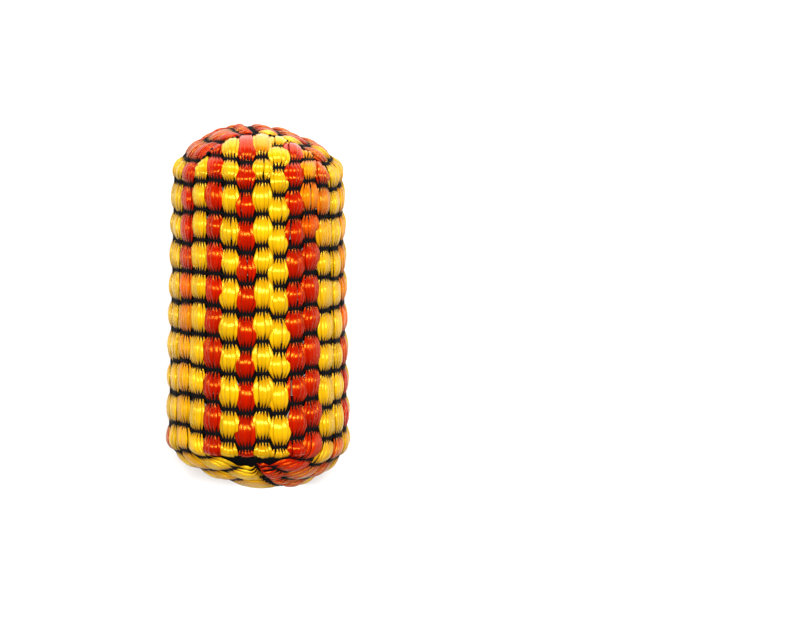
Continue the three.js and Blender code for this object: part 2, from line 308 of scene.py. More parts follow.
@lru_cache(maxsize=None)
def cover_line(end_name, angle, is_flap):
    """A line on the surface from mid-length to one end: its points, the distance along it at each, and the
    distance where it goes out of sight. A tucked line goes on a little way below the flap."""
    end = ENDS[end_name]
    rim_x, rim_z = BODY_RADIUS * math.sin(angle), BODY_RADIUS * math.cos(angle)
    side = np.linspace(0, STRAIGHT_HALF, SIDE_STATIONS)
    side = np.stack([np.full(SIDE_STATIONS, rim_x), end.side * side, np.full(SIDE_STATIONS, rim_z)], axis=-1)
    share = np.linspace(0, 1, DOME_STATIONS + 1)[1:] ** 2  # closest together at the rim, where it bends most
    if is_flap:
        x, z = flap_place(end, angle, share)
    else:
        tuck = tuck_height(end_name, rim_x, rim_z > 0)
        under = math.copysign(min(abs(tuck), abs(rim_z)) - UNDER, rim_z)
        x, z = np.full(len(share), rim_x), rim_z + (under - rim_z) * share
    points = np.concatenate([side, dome_points(end, x, z)])
    along = np.concatenate([[0], np.cumsum(np.linalg.norm(np.diff(points, axis=0), axis=1))])
    shown = along[-1]
    if not is_flap:
        reached = along[np.nonzero(np.abs(points[:, 2]) <= abs(tuck))[0][0]] - STRAIGHT_HALF
        if rim_z > 0:
            reached = min(reached, end.longest_tuck)
        shown = STRAIGHT_HALF + max(reached, SHORTEST_TUCK)
    return SimpleNamespace(points=points, along=along, shown=float(shown), length=float(along[-1]))


def lines_at(column, angle):
    return {name: cover_line(name, round(angle, 6), in_flap(end, column)) for name, end in ENDS.items()}


def smooth(value, low, high):
    share = np.clip((value - low) / (high - low), 0, 1)
    return share * share * (3 - 2 * share)


def on_cover(column, angle, along):
    """Surface points, outward normals and how far each point dives at its tucked end. along is signed."""
    lines = lines_at(column, angle)
    along = np.atleast_1d(np.asarray(along, float))
    points, normals, dive = np.zeros((len(along), 3)), np.zeros((len(along), 3)), np.zeros(len(along))
    for name, end in ENDS.items():
        here = (along * end.side > 0) | ((along == 0) & (end.side > 0))
        if not here.any():
            continue
        line, distance = lines[name], np.abs(along[here])
        found = np.stack([np.interp(distance, line.along, line.points[:, k]) for k in range(3)], axis=-1)
        points[here], normals[here] = found, outward(end, found)
        dive[here] = smooth(distance, line.shown - DIVE_LEAD, line.shown - DIVE_LEAD + DIVE_LENGTH)
    return points, normals, dive


def placed(points, normals, depth):
    """Points at a depth below the surface, tapered, raised and pressed flat underneath."""
    girth = 1 - TAPER * points[:, 1]
    height = np.maximum(0, AXIS_HEIGHT + points[:, 2] * girth)
    out = np.stack([points[:, 0] * girth, points[:, 1], height], axis=-1)
    return out - normals * np.asarray(depth).reshape(-1, 1)


# ---- Meshes ----

class MeshBuilder:
    """Gathers closed tubes into one mesh. Its UV has 0 to 1 round the tube and millimetres along it."""

    def __init__(self):
        self.points, self.faces, self.uvs, self.values, self.count = [], [], [], [], 0

    def tube(self, rings, along, values=None, closed=False):
        """rings is (stations, sides, 3); values is (stations, k), one row of values for each station."""
        stations, sides = rings.shape[:2]
        spans = stations if closed else stations - 1
        i = np.arange(spans)[:, None]
        j = np.arange(sides)[None, :]
        after, beside = (i + 1) % stations, (j + 1) % sides
        corners = [i * sides + j, i * sides + beside, after * sides + beside, after * sides + j]
        quads = np.stack([np.broadcast_to(c, (spans, sides)) for c in corners], axis=-1).reshape(-1, 4)
        lengths = np.append(along, along[-1] + (along[-1] - along[-2]))
        limits = j / sides, (j + 1) / sides, lengths[i], lengths[i + 1]
        u0, u1, v0, v1 = (np.broadcast_to(limit, (spans, sides)) for limit in limits)
        uv = np.stack([u0, v0, u1, v0, u1, v1, u0, v1], axis=-1).reshape(-1, 2)
        self.faces += [tuple(q) for q in (quads + self.count).tolist()]
        self.uvs.append(uv)
        if not closed:
            for ring, order in ((0, -1), (stations - 1, 1)):
                cap = [self.count + ring * sides + k for k in range(sides)][::order]
                self.faces.append(tuple(cap))
                self.uvs.append(np.tile([[0.5, lengths[ring]]], (sides, 1)))
        self.points.append(rings.reshape(-1, 3))
        if values is not None:
            self.values.append(np.repeat(values, sides, axis=0))
        self.count += stations * sides

    def finish(self, name, material, value_names=()):
        points = np.concatenate(self.points)
        points[:, 2] = np.maximum(points[:, 2], 0)  # nothing goes below the table
        mesh = bpy.data.meshes.new(name)
        mesh.from_pydata((points * MM).tolist(), [], self.faces)
        layer = mesh.uv_layers.new(name="fibre")
        layer.data.foreach_set("uv", np.concatenate(self.uvs).astype(np.float32).ravel())
        mesh.polygons.foreach_set("use_smooth", [True] * len(mesh.polygons))
        for k, value_name in enumerate(value_names):
            attribute = mesh.attributes.new(value_name, "FLOAT", "POINT")
            attribute.data.foreach_set("value", np.concatenate(self.values)[:, k].astype(np.float32))
        mesh.materials.append(material)
        piece = bpy.data.objects.new(name, mesh)
        bpy.context.scene.collection.objects.link(piece)
        return piece


def tube_rings(centres, normals, half_width, half_depth, sides, closed=False):
    """Elliptical rings round a line of centres, wide along the surface and thin along its normals."""
    if closed:
        direction = np.roll(centres, -1, axis=0) - np.roll(centres, 1, axis=0)
    else:
        direction = np.gradient(centres, axis=0)
    direction = normalised(direction)
    across = normalised(np.cross(normals, direction))
    upward = np.cross(direction, across)
    turn = np.arange(sides) * 2 * math.pi / sides
    wide = across[:, None, :] * (np.cos(turn)[None, :] * np.reshape(half_width, (-1, 1)))[:, :, None]
    thick = upward[:, None, :] * (np.sin(turn)[None, :] * np.reshape(half_depth, (-1, 1)))[:, :, None]
    return centres[:, None, :] + wide + thick


# ---- Floss ----

def tie_along(column, row):
    """Distance of a column's tie, towards the top. Rows 1 to RING_ROWS are the rings; a flap's rows go on
    before and after them. The sine makes them uneven, without a random draw."""
    top, bottom = TIE_HEIGHTS[column.index]
    share = (row - 1) / (RING_ROWS - 1)
    bow = RINGS_BOW * max(0, 4 * share * (1 - share))
    return bottom + (top - bottom) * share + bow + TIES_WANDER * math.sin(2.3 * row + 1.7 * column.index)


def tie_spread(column, row):
    """Width of a tie as a share of its column's width, uneven in the same way."""
    return TIE_SPREAD + TIE_SPREAD_VARIES * math.sin(3.1 * row + 2.2 * column.index)


def ties_of(column):
    """The column's ties as (row, distance), from the bottom to the top."""
    lines = lines_at(column, column.middle)
    first = 1 - FLAP_ROWS if in_flap(ENDS["bottom"], column) else 1
    last = RING_ROWS + (FLAP_ROWS if in_flap(ENDS["top"], column) else column.index == EXTRA_TIE_COLUMN)
    ties = [(row, tie_along(column, row)) for row in range(first, last + 1)]
    lowest, highest = LAST_FLOAT - lines["bottom"].shown, lines["top"].shown - LAST_FLOAT
    return [(row, at) for row, at in ties if lowest < at < highest]


# Columns that change colour along their length: for each column's number, its dye (0 yellow, 0.3 amber,
# 0.6 orange, 1 red) by the row below a float. Where a row isn't given, the next given row below it counts,
# and -9 is below all rows.
CHANGING_DYES = {
    1: {-9: 0.0, 10: 0.22},
    4: {-9: 1.0, 7: 0.75, 8: 0.42, 9: 0.25, 10: 0.25},
    5: {-9: 1.0, -1: 0.9, 0: 0.1, 1: 0.0, 7: 0.15, 8: 0.5, 9: 0.9, 10: 1.0},
    6: {-9: 1.0, 0: 0.8, 1: 0.0, 10: 0.9, 11: 0.0},
    7: {-9: 0.0, 1: 1.0, 3: 0.8, 4: 0.6, 5: 0.4, 6: 0.3, 7: 0.2, 8: 0.1, 9: 0.0, 11: 1.0},
    8: {-9: 0.0, 10: 1.0},
    9: {-9: 0.0, 10: 1.0},
    20: {-9: 0.0, 10: 1.0},
    21: {-9: 0.0, -1: 1.0},
    22: {-9: 0.0, -1: 1.0, 1: 0.0, 10: 1.0},
    23: {-9: 0.0, 10: 1.0},
    24: {-9: 0.05, 2: 0.12, 3: 0.2, 4: 0.35, 5: 0.6, 6: 0.9, 7: 1.0},
}


def dye_of(column, row):
    dyes = CHANGING_DYES.get(column.index + 1)
    if dyes is None:
        return 1.0 if SLOTS[column.name] == "floss_red" else 0.0
    return dyes[max(given for given in dyes if given <= row)]


def float_shape(ties, bottom, top):
    """Stations along a strand as arrays: distance, place within the float (0 to 1), the row below it and how
    far the nearer tie is."""
    edges = [(ties[0][0] - 1, bottom)] + ties + [(ties[-1][0] + 1, top)]
    along, place, rows, to_tie = [top], [1.0], [edges[-2][0]], [0.0]
    for (row, start), (_, finish) in reversed(list(zip(edges, edges[1:]))):
        for t in reversed(FLOAT_STATIONS):
            along.append(start + (finish - start) * t)
            place.append(t)
            rows.append(row)
            to_tie.append((finish - start) * min(t, 1 - t))
    return tuple(np.array(values[::-1]) for values in (along, place, rows, to_tie))


def float_looks(column):
    """What makes each float of a column a little different, by the row below it. sway and tilt move it
    sideways in millimetres, lean moves its belly along it, fat widens it, splits parts its strands at split
    (-1 to 1 across the column), and tone is its shade."""
    looks = {}
    for row in range(-FLAP_ROWS - 1, RING_ROWS + FLAP_ROWS + 2):
        looks[row] = SimpleNamespace(
            sway=chance.uniform(-0.32, 0.32), tilt=chance.uniform(-0.9, 0.9), lean=chance.uniform(0.85, 1.1),
            fat=chance.uniform(0.9, 1.08), split=chance.choice([-0.4, 0.1, 0.35]),
            splits=chance.random() < 0.34, tone=chance.random())
    return looks


def float_depth(bulge):
    """How far below the surface a column's middle strand lies, by its float's swelling."""
    return TIE_DEPTH + (STRAND_HALF_DEPTH - TIE_DEPTH) * bulge ** SWELLING


def crown_drop(across, bulge):
    """How much deeper a strand lies, by its place across its column."""
    return CROWN_DROP * abs(across) ** CROWN_POWER * (0.2 + 0.8 * bulge)


def make_column_piece(column, material):
    builder = MeshBuilder()
    ties = ties_of(column)
    looks = float_looks(column)
    strand_pitch = 2 * column.half_width / column.strands
    for k in range(column.strands):
        across = (2 * k + 1) / column.strands - 1
        angle = column.middle + across * (column.high - column.low) / 2
        lines = lines_at(column, angle)
        along, place, rows, to_tie = float_shape(ties, -lines["bottom"].length, lines["top"].length)
        points, normals, dive = on_cover(column, angle, along)
        each = [looks[row] for row in rows]
        own = {row: SimpleNamespace(
            sway=chance.uniform(-0.11, 0.11), sink=chance.uniform(-0.12, 0.12), tone=chance.random(),
            point=chance.uniform(0.7, 1.25)) for row in looks}
        mine = [own[row] for row in rows]
        bulge = np.maximum(0, np.sin(math.pi * place ** [look.lean for look in each]))
        tied = np.array([
            (1 - t) * tie_spread(column, row) + t * tie_spread(column, row + 1)
            for t, row in zip(place, rows)])
        belly = BELLY_SPREAD * np.array([look.fat for look in each])
        shift = across * column.half_width * (tied + (belly - tied) * bulge ** SPREAD_CURVE - 1)
        shift += bulge * [look.sway + look.tilt * (t - 0.5) + strand.sway
                          for look, strand, t in zip(each, mine, place)]
        shift += bulge * [SPLIT_WIDTH * math.copysign(look.splits, across - look.split) for look in each]
        depth = float_depth(bulge) + crown_drop(across, bulge)
        depth += bulge * [strand.sink for strand in mine] + DIVE_DEPTH * dive
        full = smooth(to_tie / [strand.point for strand in mine], POINT_START, POINT_LENGTH)
        half_width = TIE_HALF_WIDTH + (strand_pitch * STRAND_OVERLAP - TIE_HALF_WIDTH) * full
        half_depth = TIE_HALF_DEPTH + (STRAND_HALF_DEPTH - TIE_HALF_DEPTH) * full
        centres = placed(points, normals, depth)
        rightward = normalised(np.cross(normalised(np.gradient(centres, axis=0)), normals))
        centres += rightward * shift[:, None]
        rings = tube_rings(centres, normals, half_width, half_depth, STRAND_SIDES)
        dyes = np.array([dye_of(column, row) for row in rows])
        tones = np.array([(look.tone + strand.tone) / 2 for look, strand in zip(each, mine)])
        fibre_start = 37.0 * k + 11.0 * column.index  # so that no two strands have the same streaks
        builder.tube(rings, along + fibre_start, np.stack([dyes, tones, bulge], axis=-1))
    return builder.finish(column.name, material, ("dye", "tone", "belly"))


# ---- Binding cord ----

def binding_path(columns, row, closed):
    """What a row's cord follows across the columns: the line's column and angle, the distance along it, how
    fully it is tied there (less between columns), and whether it goes over a strand."""
    path = []
    for n, column in enumerate(columns):
        here, half = tie_along(column, row), (column.high - column.low) / 2
        spread = tie_spread(column, row)
        for k in range(2 * column.strands - 1):
            share = ((k + 1) / column.strands - 1) * spread
            path.append((column, column.middle + share * half, here, 1.0, k % 2 == 0))
        if closed or n < len(columns) - 1:
            beyond = columns[(n + 1) % len(columns)]
            there, gap = tie_along(beyond, row), 1 - spread
            for share, tied in LINK_STEPS:
                path.append((column, column.middle + half * (spread + gap * share),
                             here + (there - here) * smooth(share / 2, 0, 1), tied, False))
            gap = 1 - tie_spread(beyond, row)
            other = (beyond.high - beyond.low) / 2
            for share, tied in reversed(LINK_STEPS):
                path.append((beyond, beyond.middle - other * (1 - gap + gap * share),
                             there + (here - there) * smooth(share / 2, 0, 1), tied, False))
    return path


def lay_cords(path, offsets, is_ground):
    """Points and normals for several cords laid side by side on a path, as (path, cords, 3)."""
    centres, normals = [], []
    for column, angle, at, tied, over in path:
        spacing = offsets * (1 if is_ground else PICKS_GATHERED + (1 - PICKS_GATHERED) * tied)
        points, normal, dive = on_cover(column, angle, at + spacing)
        if is_ground:
            depth = np.full(len(offsets), GROUND_DEPTH)
        else:
            wave = PICK_WAVE * np.where(np.arange(len(offsets)) % 2, -0.6, 1.0)
            depth = PICK_DEPTH + (0 if over else tied) * wave + LINK_DEPTH * (1 - tied)
        centres.append(placed(points, normal, depth + DIVE_DEPTH * dive))
        normals.append(normal)
    return np.array(centres), np.array(normals)


def distances(points):
    return np.concatenate([[0], np.cumsum(np.linalg.norm(np.diff(points, axis=0), axis=1))])


def rounded(values, closed):
    """Two Catmull-Rom steps for each one given, along the first axis."""
    if closed:
        before, after, last = (np.roll(values, shift, axis=0) for shift in (1, -1, -2))
    else:
        padded = np.concatenate([values[:1], values, values[-1:], values[-1:]])
        before, after, last = padded[:-3], padded[2:-1], padded[3:]
    between = (9 * (values + after) - before - last) / 16
    steps = np.stack([values, between], axis=1).reshape(-1, *values.shape[1:])
    return steps if closed else steps[:-1]


def add_ticks(builder, column, row):
    """Black stitches across a tie between the strands, running out between their points."""
    half, spread = (column.high - column.low) / 2, tie_spread(column, row)
    for k in range(1, column.strands):
        share = 2 * k / column.strands - 1
        length = TICK_LENGTH * chance.uniform(0.7, 1.25)
        reach = length * np.array(TICK_REACH)
        size = TICK_RADIUS * np.array(TICK_TAPER)
        at = tie_along(column, row) + chance.uniform(-0.15, 0.15) + reach
        points, normals, dive = on_cover(column, column.middle + share * spread * half, at)
        bulge = np.sin(math.pi * np.abs(reach) / USUAL_PITCH)
        depth = float_depth(bulge) + TICK_BELOW_STRAND
        depth += crown_drop(share, bulge) + DIVE_DEPTH * dive
        deepest = PICK_DEPTH - TICK_ABOVE_PICK + DIVE_DEPTH * dive
        centres = placed(points, normals, np.minimum(depth, deepest))
        rightward = normalised(np.cross(normalised(np.gradient(centres, axis=0)), normals))
        outwards = share * column.half_width * (BELLY_SPREAD - spread) * bulge ** SPREAD_CURVE
        centres += rightward * outwards[:, None]
        builder.tube(tube_rings(centres, normals, size, size, CORD_SIDES), distances(centres))


def add_binding(builder, columns, row, closed=False):
    """A row's three picks, the stitches across its ties and the black below them."""
    path = binding_path(columns, row, closed)
    centres, normals = lay_cords(path, PICK_SPACING * np.array([-1, 0, 1]), False)
    centres, normals = rounded(centres, closed), normalised(rounded(normals, closed))
    radius = rounded(np.array([
        LINK_RADIUS + (PICK_RADIUS * (PICK_OVER if over else PICK_UNDER) - LINK_RADIUS) * tied
        for _, _, _, tied, over in path]), closed)
    for pick in range(centres.shape[1]):
        rings = tube_rings(centres[:, pick], normals[:, pick], radius, radius, CORD_SIDES, closed)
        builder.tube(rings, distances(centres[:, pick]), closed=closed)
    for column in columns:
        add_ticks(builder, column, row)
    spans = GROUND_HALF_WIDTH * np.array([1, 0.5, 0, -0.5, -1])
    ground, normals = lay_cords(path, spans, True)
    rings = np.concatenate([ground, (ground - GROUND_THICKNESS * normals)[:, ::-1]], axis=1)
    builder.tube(rings, distances(ground[:, 0]), closed=closed)


def make_binding_piece(name, columns, row, closed, material):
    builder = MeshBuilder()
    add_binding(builder, columns, row, closed)
    return builder.finish(name, material)


def add_stitches(builder, end, x, z, sideways, width, depth):
    """Black stitches that zigzag along a line on a dome."""
    step = chance.uniform(*STITCH_LENGTHS)
    phase = np.linspace(0, len(x) * SEAM_STEP / step * math.pi, len(x))
    uneven = 1 + 0.25 * np.sin(0.37 * phase) + 0.15 * np.sin(0.9 * phase)  # no two stitches the same size
    for swing in (1, -1):
        offset = width * swing * uneven * np.sin(phase)
        points = dome_points(end, x + sideways[0] * offset, z + sideways[1] * offset)
        normals = outward(end, points)
        centres = placed(points, normals, depth + STITCH_WAVE * np.cos(2 * phase))
        size = np.full(len(x), STITCH_RADIUS)
        builder.tube(tube_rings(centres, normals, size, size, 8), distances(centres))


def add_ground(builder, end, x, z):
    """A black strip below the stitches; in the clefts it is also painted shade. x and z are (stations, 5),
    from its one edge to the other.
    """
    points = dome_points(end, x.ravel(), z.ravel())
    normals = outward(end, points)
    upper, lower = (
        placed(points, normals, STITCH_GROUND_DEPTH + extra).reshape(-1, 5, 3)
        for extra in (0, STITCH_GROUND_THICKNESS))
    builder.tube(np.concatenate([upper, lower[:, ::-1]], axis=1), distances(upper[:, 2]))


def make_stitching(end_name, material):
    """The stitches that close the seam, those along the clefts where the other columns tuck under, and at
    the top the extra tie."""
    end = ENDS[end_name]
    builder = MeshBuilder()
    upper = end.flap_edge - max(0, end.left_drop, end.right_drop) - SEAM_UPPER_MARGIN
    z = np.arange(SEAM_LOWER_MARGIN - end.flap_edge, upper, SEAM_STEP)
    x = seam_across(end, z)
    spans = -end.side * np.linspace(-1, 1, 5)
    add_stitches(builder, end, x, z, (1, 0), SEAM_SWING, SEAM_STITCH_DEPTH)
    add_ground(builder, end, x[:, None] + SEAM_GROUND * spans, np.repeat(z[:, None], 5, axis=1))
    for facing in (1, -1):
        x = np.arange(-CLEFT_HALF_LENGTH, CLEFT_HALF_LENGTH, SEAM_STEP)
        rim = np.sqrt(BODY_RADIUS ** 2 - x ** 2)
        tuck = np.array([abs(tuck_height(end_name, place, facing > 0)) for place in x])
        tuck = np.minimum(tuck, rim)
        stitched = facing * np.minimum(tuck + CLEFT_STITCHES, rim)
        add_stitches(builder, end, x, stitched, (0, 1), CLEFT_SWING, end.stitch_depth)
        # Black thread and painted shade: a black strip from below the flaps out to the rim darkens the
        # cleft's opening.
        inner = tuck - GROUND_UNDER_FLAP
        across = inner[:, None] + (rim - inner)[:, None] * (0.5 - 0.5 * facing * spans)
        add_ground(builder, end, np.repeat(x[:, None], 5, axis=1), facing * across)
    if end_name == "top":
        add_binding(builder, [COLUMNS[EXTRA_TIE_COLUMN]], RING_ROWS + 1)
    return builder.finish(f"{end_name}_closing_stitch", material)


# ---- Inside the cover ----

BAG_DEPTH = 3.0  # the bag's cloth, below the cover's outer surface
BAG_FLOOR = 3.0  # how high the bag's and the herbs' flattened underside lies
BAG_STRAIGHT_HALF = 36.5  # the bag rounds off beyond this, over these lengths
BAG_BOTTOM_ROUNDING = 12.05
BAG_TOP_ROUNDING = 9.6
BAG_UNDERSIDE_RISE = 0.02  # the underside's slope up towards its sides
CREASE_COUNT = 9
PLEATS_START, PLEATS_LENGTH = 34, 10  # the pleats deepen from here on, over this length
PLEAT_COUNT, PLEAT_DEPTH = 17, 0.5
MOUTH_START, MOUTH_RADIUS = 40, 2.6  # from here on the bag is at least as thick as its gathered mouth
BAG_LEAST_RADIUS = 0.4
BAG_STATIONS, BAG_SIDES = 90, 120
HERB_INSET = 1.0  # from the CAD filling to the middle of the lumps
HERB_SQUARENESS = 7  # the ends are flatter where this is higher
HERB_LEAST_RADIUS = 0.3
LUMP_COUNT, LUMP_HEIGHT = 14, 0.09
HERB_STATIONS, HERB_SIDES = 80, 96
PLY_RADIUS = 0.36  # of each of the tie string's two plies
PLY_SWING = 0.33  # each ply's distance from the string's middle
PLY_INSET = 0.7  # from the outside of the CAD string to its middle
PLY_STATIONS = 160
PLY_TWISTS = 26


def bolster_rings(low, high, radius_at, stations, sides):
    """Rings about the long axis between two points on it; radius_at(share, angles) gives each ring."""
    turn = np.arange(sides) * 2 * math.pi / sides
    rings = []
    for share in np.linspace(0, 1, stations):
        radius = radius_at(share, turn)
        x, z = radius * np.sin(turn), radius * np.cos(turn)
        z = np.maximum(z + AXIS_HEIGHT, BAG_FLOOR + BAG_UNDERSIDE_RISE * np.abs(x))
        rings.append(np.stack([x, np.full(sides, low + (high - low) * share), z], axis=-1))
    return np.array(rings)


def node_span(node):
    """A node's lowest and highest y, and its half-width, in millimetres."""
    low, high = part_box(node)
    return low.y / MM, high.y / MM, (high.x - low.x) / 2 / MM


def rounding(past, length):
    """The share of its full radius that a bag keeps this far past where it starts to round off."""
    return math.sqrt(max(0.0, 1 - max(0.0, past / length) ** 2))


def make_muslin_bag(material):
    """A creased bag, rounded at both ends and pleated towards its mouth."""
    low, high, _ = node_span("muslin_bag")
    creases = [(chance.uniform(0, 2 * math.pi), chance.uniform(0.08, 0.25)) for _ in range(CREASE_COUNT)]

    def radius_at(share, turn):
        y = low + (high - low) * share
        near_bottom = rounding(-BAG_STRAIGHT_HALF - y, BAG_BOTTOM_ROUNDING)
        near_top = rounding(y - BAG_STRAIGHT_HALF, BAG_TOP_ROUNDING)
        body = (BODY_RADIUS - BAG_DEPTH) * (1 - TAPER * y) * near_bottom * near_top
        gather = min(1.0, max(0.0, (y - PLEATS_START) / PLEATS_LENGTH))
        pleats = PLEAT_DEPTH * gather * np.cos(PLEAT_COUNT * turn + 0.4 * np.sin(3 * turn))
        wrinkles = sum(
            size * np.cos(k * turn + start + 6 * share) for k, (start, size) in enumerate(creases, 2))
        mouth = MOUTH_RADIUS + 0.5 * np.cos(9 * turn)
        least = mouth if y > MOUTH_START else BAG_LEAST_RADIUS
        return np.maximum(body + pleats + 0.5 * wrinkles * near_top * near_bottom, least)

    builder = MeshBuilder()
    rings = bolster_rings(low, high, radius_at, BAG_STATIONS, BAG_SIDES)
    builder.tube(rings, np.linspace(low, high, BAG_STATIONS))
    return builder.finish("muslin_bag", material)


def make_herb_filling(material):
    """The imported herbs, as one lumpy solid."""
    low, high, radius = node_span("herb_filling")
    lumps = [
        (chance.randint(3, 19), chance.uniform(0, 6.3), chance.uniform(4, 30)) for _ in range(LUMP_COUNT)]

    def radius_at(share, turn):
        near_end = math.sqrt(max(0.0, 1 - abs(2 * share - 1) ** HERB_SQUARENESS))
        rough = sum(np.cos(k * turn + start + along * share) for k, start, along in lumps)
        return (radius - HERB_INSET + LUMP_HEIGHT * rough) * near_end + HERB_LEAST_RADIUS

    builder = MeshBuilder()
    rings = bolster_rings(low, high, radius_at, HERB_STATIONS, HERB_SIDES)
    builder.tube(rings, np.linspace(low, high, HERB_STATIONS))
    return builder.finish("herb_filling", material)


def make_bag_tie(material):
    """A two-ply string wound once round the bag's mouth."""
    low, high, radius = node_span("bag_tie_string")
    middle, ring = (low + high) / 2, radius - PLY_INSET
    builder = MeshBuilder()
    turn = np.linspace(0, 2 * math.pi, PLY_STATIONS, endpoint=False)
    size = np.full(PLY_STATIONS, PLY_RADIUS)
    for ply in (0, math.pi):
        twist = PLY_TWISTS * turn + ply
        reach = ring + PLY_SWING * np.cos(twist)
        along = middle + PLY_SWING * np.sin(twist)
        centres = np.stack([reach * np.sin(turn), along, AXIS_HEIGHT + reach * np.cos(turn)], axis=-1)
        normals = np.stack([np.sin(turn), np.zeros(PLY_STATIONS), np.cos(turn)], axis=-1)
        rings = tube_rings(centres, normals, size, size, 8, True)
        builder.tube(rings, distances(centres), closed=True)
    return builder.finish("bag_tie_string", material)


# ---- Materials ----

def new_material(name):
    material = bpy.data.materials.new(name)
    material.use_nodes = True
    nodes, links = material.node_tree.nodes, material.node_tree.links
    return material, nodes, links, nodes["Principled BSDF"]


def add_fibre_noise(nodes, links, scale_round, scale_along, detail=4.0):
    """Noise in the tube's own UV, so that it can be drawn out along the strand."""
    uv = nodes.new("ShaderNodeUVMap")
    uv.uv_map = "fibre"
    mapping = nodes.new("ShaderNodeMapping")
    mapping.inputs["Scale"].default_value = (scale_round, scale_along, 1)
    noise = nodes.new("ShaderNodeTexNoise")
    noise.inputs["Scale"].default_value = 1.0
    noise.inputs["Detail"].default_value = detail
    links.new(uv.outputs["UV"], mapping.inputs["Vector"])
    links.new(mapping.outputs["Vector"], noise.inputs["Vector"])
    return noise


def add_bump(nodes, links, shader, height, strength, distance):
    bump = nodes.new("ShaderNodeBump")
    bump.inputs["Strength"].default_value = strength
    bump.inputs["Distance"].default_value = distance
    links.new(height, bump.inputs["Height"])
    links.new(bump.outputs["Normal"], shader.inputs["Normal"])


def add_range(nodes, links, value, low, high):
    spread = nodes.new("ShaderNodeMapRange")
    spread.inputs["To Min"].default_value = low
    spread.inputs["To Max"].default_value = high
    links.new(value, spread.inputs["Value"])
    return spread.outputs["Result"]


def add_product(nodes, links, first, second):
    times = nodes.new("ShaderNodeMath")
    times.operation = "MULTIPLY"
    links.new(first, times.inputs[0])
    links.new(second, times.inputs[1])
    return times.outputs[0]


def add_attribute(nodes, name):
    node = nodes.new("ShaderNodeAttribute")
    node.attribute_name = name
    return node.outputs["Fac"]


def add_ramp(nodes, links, value, stops):
    ramp = nodes.new("ShaderNodeValToRGB")
    while len(ramp.color_ramp.elements) < len(stops):
        ramp.color_ramp.elements.new(0.5)
    for element, (place, colour) in zip(ramp.color_ramp.elements, stops):
        element.position = place
        element.color = (*colour, 1)
    links.new(value, ramp.inputs["Fac"])
    return ramp.outputs["Color"]


YELLOW = (0.66, 0.36, 0.002)
AMBER = (0.63, 0.23, 0.002)
ORANGE = (0.59, 0.1, 0.0015)
RED = (0.4, 0.006, 0.0002)


def floss_material(name, gloss):
    """Satin filament floss: its dye comes from the strand, with painted shade near the ties, and its gloss
    is drawn across the fibres.
    """
    material, nodes, links, shader = new_material(name)
    fibre = add_fibre_noise(nodes, links, 26.0, 0.22)
    # Painted shade: towards each tie the dye shifts by up to 0.3 towards amber, the orange of the shade
    # between the floats.
    deeper = add_range(nodes, links, add_attribute(nodes, "belly"), 0.3, 0.0)
    dye = nodes.new("ShaderNodeMath")
    links.new(add_attribute(nodes, "dye"), dye.inputs[0])
    links.new(deeper, dye.inputs[1])
    colour = add_ramp(nodes, links, dye.outputs[0], [(0.0, YELLOW), (0.3, AMBER), (0.6, ORANGE), (1.0, RED)])
    streaks = add_range(nodes, links, fibre.outputs["Fac"], 0.55, 1.25)
    tones = add_range(nodes, links, add_attribute(nodes, "tone"), 0.78, 1.14)
    # Painted shade: the floss darkens from full value at the belly to 0.42 at each tie.
    painted_shade_near_ties = add_range(nodes, links, add_attribute(nodes, "belly"), 0.42, 1.0)
    value = add_product(nodes, links, add_product(nodes, links, streaks, tones), painted_shade_near_ties)
    shade = nodes.new("ShaderNodeHueSaturation")
    links.new(colour, shade.inputs["Color"])
    links.new(value, shade.inputs["Value"])
    links.new(shade.outputs["Color"], shader.inputs["Base Color"])
    shader.inputs["Roughness"].default_value = 0.24
    shader.inputs["Anisotropic"].default_value = 0.95
    shader.inputs["Specular IOR Level"].default_value = 1.0
    shader.inputs["Specular Tint"].default_value = (*gloss, 1)
    tangent = nodes.new("ShaderNodeTangent")
    tangent.direction_type = "UV_MAP"
    tangent.uv_map = "fibre"
    links.new(tangent.outputs["Tangent"], shader.inputs["Tangent"])
    add_bump(nodes, links, shader, fibre.outputs["Fac"], 0.7, 0.00012)
    return material


def cord_material(name, colour, roughness):
    """Twisted matt cord."""
    material, nodes, links, shader = new_material(name)
    twist = add_fibre_noise(nodes, links, 5.0, 2.6, 3.0)
    shade = add_range(nodes, links, twist.outputs["Fac"], 0.5, 1.5)
    hue = nodes.new("ShaderNodeHueSaturation")
    hue.inputs["Color"].default_value = (*colour, 1)
    links.new(shade, hue.inputs["Value"])
    links.new(hue.outputs["Color"], shader.inputs["Base Color"])
    shader.inputs["Roughness"].default_value = roughness
    shader.inputs["Specular IOR Level"].default_value = 0.04
    add_bump(nodes, links, shader, twist.outputs["Fac"], 0.7, 0.0002)
    return material


def muslin_material():
    """Plain-woven cotton: two sets of threads at right angles."""
    material, nodes, links, shader = new_material("muslin_white")
    uv = nodes.new("ShaderNodeUVMap")
    uv.uv_map = "fibre"
    heights = []
    for direction, scale in (("X", 60.0), ("Y", 0.6)):
        threads = nodes.new("ShaderNodeTexWave")
        threads.bands_direction = direction
        threads.inputs["Scale"].default_value = scale
        threads.inputs["Distortion"].default_value = 0.6
        links.new(uv.outputs["UV"], threads.inputs["Vector"])
        heights.append(threads.outputs["Fac"])
    weave = add_product(nodes, links, *heights)
    colour = add_ramp(nodes, links, weave, [(0.0, (0.62, 0.58, 0.48)), (1.0, (0.86, 0.83, 0.76))])
    links.new(colour, shader.inputs["Base Color"])
    shader.inputs["Roughness"].default_value = 0.9
    add_bump(nodes, links, shader, weave, 0.6, 0.0002)
    return material


